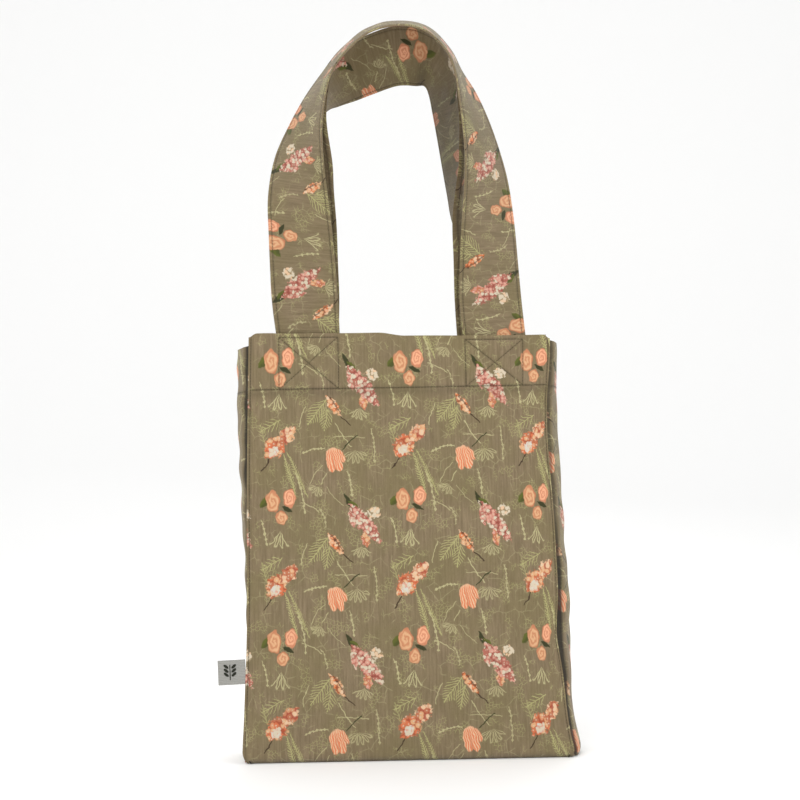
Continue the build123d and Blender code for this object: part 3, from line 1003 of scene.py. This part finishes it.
class Print(Graph):
    """The botanical print. Each motif mixes itself over the colour so far; places are in millimetres."""

    def start(self, place, colour):
        warp = self.noise(place, 0.16, 2.0).outputs["Color"]
        warp = self.vector("MULTIPLY", self.vector("SUBTRACT", warp, (0.5, 0.5, 0.5)), (3.0, 3.0, 0.0))
        self.place = self.vector("ADD", place, warp)
        self.colour = colour

    def local(self, x, y, turn=0.0, size=(1.0, 1.0)):
        """The place measured from a motif's middle, turned and scaled with it, in the nearest tile."""
        half = (tile_width / 2, tile_height / 2, 1.0)
        away = self.vector("SUBTRACT", self.place, (x, y, 0.0))
        away = self.vector("WRAP", away, half, tuple(-v for v in half))
        values = {"Vector": away, "Rotation": (0, 0, math.radians(turn)), "Scale": (size[0], size[1], 1)}
        return self.node("ShaderNodeMapping", values, vector_type="TEXTURE").outputs[0]

    def paint(self, mask, colour):
        self.colour = self.mix(mask, self.colour, colour)

    def rose(self, x, y, wide, tall, turn, turns, petal):
        """A spiral rose: its petals' edges wind `turns` times faster out than round."""
        place = self.local(x, y, turn, (wide / 2, tall / 2))
        u, v = self.split(place)
        r = self.size_of(place)
        angle = self.math("ARCTAN2", v, u)
        lobes = self.sine(angle * 5.0 + r * 4.0) * 0.06
        lines = self.sine(r * turns + angle + lobes * 12.0)
        tint = self.mix(self.below(lines, -0.25, 0.55) * 0.62, petal, coral)
        tint = self.mix(self.below(lines, 0.75, 0.2) * -0.35 + 0.35, tint, light_peach)
        tint = self.mix(self.below(1.0 - r, 0.12, 0.1) * 0.75, tint, coral)
        self.paint(self.below(r + lobes, 1.0, 0.06), tint)

    def leaf(self, x, y, long, wide, turn, colour):
        u, v = self.split(self.local(x, y, turn, (long / 2, wide / 2)))
        tint = self.mix(self.below(v, 0.0, 0.3) * 0.5, colour, dark_olive)
        self.paint(self.below(abs(v) + u * u, 1.0, 0.18), tint)

    def stroke(self, x, y, long, turn, bend, wide, colour, strong=1.0, beads=0.0):
        """A drawn line, bent by `bend`, with small buds along it if beads."""
        u, v = self.split(self.local(x, y, turn))
        off = abs(v + u * u * (4 * bend / long**2) - bend)
        if beads:
            off = off - self.math("MAXIMUM", self.sine(u * (2 * math.pi / beads)), 0.0) * 0.85
        mask = self.below(off, wide / 2, 0.28) * self.below(abs(u), long / 2, 0.6)
        self.paint(mask * strong, colour)

    def frond(self, x, y, long, wide, turn, pitch, strong):
        """Feathery foliage: slanting barbs on both sides of a stem."""
        u, v = self.split(self.local(x, y, turn))
        away, along = abs(v), abs(u) / (long / 2)
        barb = self.math("PINGPONG", u + away * 1.1, pitch / 2)
        mask = self.below(barb, 0.45, 0.4) * self.below(away / (wide / 2) + along * along, 1.0, 0.1)
        stem = self.below(away, 0.4, 0.3) * self.below(along, 1.0, 0.05)
        self.paint(self.math("MAXIMUM", mask, stem) * strong, pale_green)

    def petals(self, x, y, radius, turn, count, half_angle, strong=0.85):
        """A fan of outlined petals that meet at one point."""
        place = self.local(x, y, turn)
        u, v = self.split(place)
        r = self.size_of(place)
        angle = self.math("ARCTAN2", v, u)
        reach = abs(self.sine(angle * float(count))) * radius
        steep = abs(self.math("COSINE", angle * float(count))) * (count * radius)
        steep = steep / self.math("MAXIMUM", r, radius * 0.35) + 1.0
        line = self.below(abs(r - reach) / steep, 0.42, 0.3)
        self.paint(line * self.below(abs(angle), half_angle, 0.05) * strong, pale)

    def spokes(self, x, y, radius, count, strong=0.7):
        """A seed head: short spokes round a middle."""
        place = self.local(x, y)
        u, v = self.split(place)
        r = self.size_of(place)
        angle = self.math("ARCTAN2", v, u)
        line = self.below(abs(self.sine(angle * (count / 2))) * r, 0.5, 0.4)
        self.paint(line * self.below(r, radius, 0.8) * strong, pale)

    def cells(self, scale, randomness, feature="F1"):
        values = {"Vector": self.place, "Scale": scale, "Randomness": randomness}
        return self.node("ShaderNodeTexVoronoi", values, voronoi_dimensions="2D", feature=feature)

    def blooms(self, x, y, long, wide, turn, cell, colours, rim):
        """A crowded flower spike of small blooms, each its own tint with a darker outline."""
        u, v = self.split(self.local(x, y, turn))
        along = u / (long / 2)
        ragged = self.grain(self.place, 0.35, 1.0)
        lens = abs(v) / (wide / 2) + along * along + ragged * 0.9 - 0.45
        cells = self.cells(1.0 / cell, 0.9)
        chance, _ = self.split(cells.outputs["Color"])
        tint = self.mix(self.below(chance, 0.62, 0.05), colours[0], colours[1])
        tint = self.mix(self.below(chance, 0.3, 0.05), tint, colours[2])
        near = Num(self, cells.outputs["Distance"])
        tint = self.mix(self.below(near, 0.16, 0.08) * 0.7, tint, white)
        tint = self.mix(self.below(1.0 - near, 0.42, 0.1) * 0.85, tint, rim)
        self.paint(self.below(lens, 1.0, 0.1), tint)

    def bell(self, x, y, wide, tall, turn):
        """A drooping flower: a pale cap over hanging petals with drawn veins."""
        place = self.local(x, y, turn)
        u, v = self.split(place)
        shape = self.size_of(self.vector("MULTIPLY", place, (2 / wide, 2 / tall, 0.0)))
        across = u / (1.0 - v * (0.5 / tall))
        petal = abs(self.sine(across * (math.pi * 2.5 / wide) + 0.6))
        drop = self.below(v, tall * 0.12, tall * 0.5)
        veins = self.sine(across * (math.pi * 18.0 / wide) + self.grain(self.place, 0.18, 1.0) * 5.0)
        tint = self.mix(self.below(veins, -0.3, 0.35), bell_coral, light_peach)
        tint = self.mix(self.below(petal, 0.22, 0.14) * drop * 0.8, tint, coral)
        tint = self.mix(self.below(tall * 0.36 - v, 0.0, 2.0) * 0.6, tint, light_peach)
        self.paint(self.below(shape - petal * drop * 0.34 + 0.13, 1.0, 0.05), tint)

    def twigs(self, scale, wide, soft, patch, strong, colour):
        """Faint pencilled twigs between the motifs: a web of lines, kept only in patches."""
        web = Num(self, self.cells(scale, 1.0, "DISTANCE_TO_EDGE").outputs["Distance"])
        self.paint(self.below(web, wide, soft) * patch * strong, colour)


def printed_cloth():
    art = Print("printed_canvas")
    place = art.uv_mm()
    art.start(place, plain_cloth(art, place, ground))
    art.twigs(0.085, 0.028, 0.03, art.below(art.grain(art.place, 0.055, 1.0), 0.46, 0.06), 0.3, pale)
    art.twigs(0.3, 0.07, 0.07, art.below(art.grain(art.place, 0.06, 2.0), 0.405, 0.04), 0.5, pale_green)
    # Pale pencilled plants
    art.petals(3, -25, 17, -97, 8, 0.62)
    art.stroke(-14, -27, 26, -78, 1.0, 0.8, pale, 0.8, beads=5.2)
    art.stroke(23, 12, 42, -78, 2.0, 0.9, pale, 0.75, beads=6.0)
    art.stroke(33, -3, 22, -28, 1.5, 0.8, pale, 0.75)
    art.stroke(47, 26, 12, 62, 0.6, 0.8, pale, 0.7)
    art.petals(42, 18, 9, -120, 6, 1.2, 0.6)
    art.stroke(45, -13, 20, -72, 2.0, 0.8, pale, 0.6, beads=4.4)
    art.stroke(58, 8, 25, -48, -1.5, 0.7, pale, 0.55)
    art.stroke(27, -49, 22, 72, 1.5, 0.9, pale, 0.7)
    art.stroke(67, -68, 30, -56, -1.0, 0.9, pale, 0.8)
    art.stroke(73, -71, 32, -3, 0.8, 0.8, pale, 0.65)
    art.stroke(37, -84, 24, 12, 1.8, 0.9, pale, 0.8, beads=3.8)
    art.petals(79, -84, 13, -88, 7, 1.3, 0.6)
    art.stroke(97, -80, 34, -86, 1.0, 0.9, pale, 0.65, beads=4.6)
    art.stroke(40, -108, 24, 55, 2.0, 0.8, pale, 0.6)
    art.spokes(33, -121, 9, 14)
    art.spokes(74, -116, 8, 12, 0.6)
    art.petals(84, -42, 11, -95, 7, 1.1, 0.65)
    art.stroke(73, 20, 26, -80, 1.0, 0.8, pale, 0.75, beads=5.0)
    # Green foliage
    art.frond(-6, -58, 25, 13, 28, 5.0, 0.85)
    art.frond(-14, -66, 20, 9, -75, 4.2, 0.6)
    art.frond(41, -45, 32, 17, 52, 3.6, 0.9)
    art.frond(50, -53, 24, 13, 78, 3.4, 0.85)
    art.frond(13, -108, 44, 6, -74, 2.7, 0.9)
    art.frond(21, -108, 50, 5, -66, 2.7, 0.8)
    # Roses
    art.leaf(-12.5, 3.5, 15, 7.5, 48, olive)
    art.leaf(10, -4, 13, 4.5, -26, dark_olive)
    art.rose(-4.5, 4, 14, 22, 4, 12.0, peach)
    art.rose(12.5, 7, 12.5, 18.5, -4, 15.0, rose_peach)
    art.rose(4, -12.5, 11.5, 14, 0, 10.5, peach)
    # Heather
    art.leaf(72, 2, 20, 5.0, -62, dark_olive)
    art.leaf(76, 0, 12, 5.0, -35, olive)
    art.stroke(80, -9, 22, -56, 0.5, 1.3, brown)
    art.blooms(88, -20, 52, 15, -52, 3.3, (pink, rose_pink, white), srgb(132, 62, 50))
    art.blooms(97, -9, 14, 11, -25, 3.0, (white, light_peach, white), srgb(128, 108, 72))
    art.blooms(75, -15, 20, 6, -75, 2.8, (pink, white, rose_pink), rose_pink)
    art.blooms(88, -36, 16, 8, -80, 3.0, (peach, coral, pink), coral)
    # Wattle
    art.blooms(58, -39, 27, 8.5, -55, 3.6, (peach, light_peach, srgb(204, 118, 70)), srgb(128, 60, 30))
    art.stroke(59, -38, 22, -55, 0.5, 1.0, brown, 0.7, beads=4.4)
    art.stroke(70, -54, 14, -42, 0.0, 1.1, brown)
    # Protea
    art.stroke(-11, -97, 15, 56, -0.6, 1.2, brown)
    art.blooms(-2, -80, 28, 20, 48, 4.6, (peach, srgb(196, 106, 68), coral), srgb(150, 66, 40))
    art.blooms(11, -68, 24, 14, 48, 4.2, (light_peach, coral, peach), srgb(150, 62, 44))
    art.blooms(-3, -84, 13, 9, 50, 2.6, (white, srgb(196, 192, 180), white), pink)
    # Bell
    art.bell(58, -92, 19, 24, 14)
    art.stroke(74, -76, 21, 42, 0.8, 1.1, dark_olive)
    return finish_cloth(art, place, art.colour)


def inside_cloth():
    graph = Graph("plain_canvas")
    place = graph.uv_mm()
    return finish_cloth(graph, place, plain_cloth(graph, place, canvas))


def thread_material():
    graph = Graph("sewing_thread")
    place = graph.vector("MULTIPLY", graph.node("ShaderNodeTexCoord").outputs["Object"], (1000.0,) * 3)
    tone = graph.node("ShaderNodeTexNoise", {"Vector": place, "Scale": 0.4, "Detail": 1.0}).outputs[0]
    colour = graph.mix(tone, srgb(84, 72, 48), srgb(60, 50, 32))
    twist = graph.node("ShaderNodeTexWave", {"Vector": place, "Scale": 1.7}, bands_direction="DIAGONAL")
    return graph.surface(colour, 0.4, 0.0001, twist.outputs["Fac"], 0.7, 0.3)


def tape_material(name, light, dark, rib):
    """A ribbed woven tape: fine ribs across it, with soft wear."""
    graph = Graph(name)
    place = graph.uv_mm()
    _, y = graph.split(place)
    ribs = graph.sine(y * (2 * math.pi / rib))
    grain = graph.grain(place, 0.9, 2.0)
    share = graph.math("MULTIPLY_ADD", ribs, 0.22, 0.3) + (grain - 0.5) * 0.6
    return graph.surface(graph.mix(share, light, dark), 0.6, 0.0003, ribs + grain, 0.85, 0.25)


def main():
    make_camera()
    make_stage()
    printed, plain, thread = printed_cloth(), inside_cloth(), thread_material()
    for side in (FRONT, REAR):
        make_wall(side, [printed, plain])
        make_hem(side, plain)
    for hand in (LEFT, RIGHT):
        make_gusset(hand, [printed, plain])
    make_base([printed, plain])
    frames = {side: make_strap(side, printed) for side in (FRONT, REAR)}
    make_sewing(thread, frames)
    tape = tape_material("label_tape", srgb(160, 159, 154), srgb(128, 126, 120), 1.5)
    edge = tape_material("label_tape_edge", srgb(62, 60, 54), srgb(44, 42, 38), 1.5)
    make_label(tape, edge)
    make_sprig(tape_material("label_yarn", srgb(44, 46, 36), srgb(30, 30, 24), 0.8))


main()
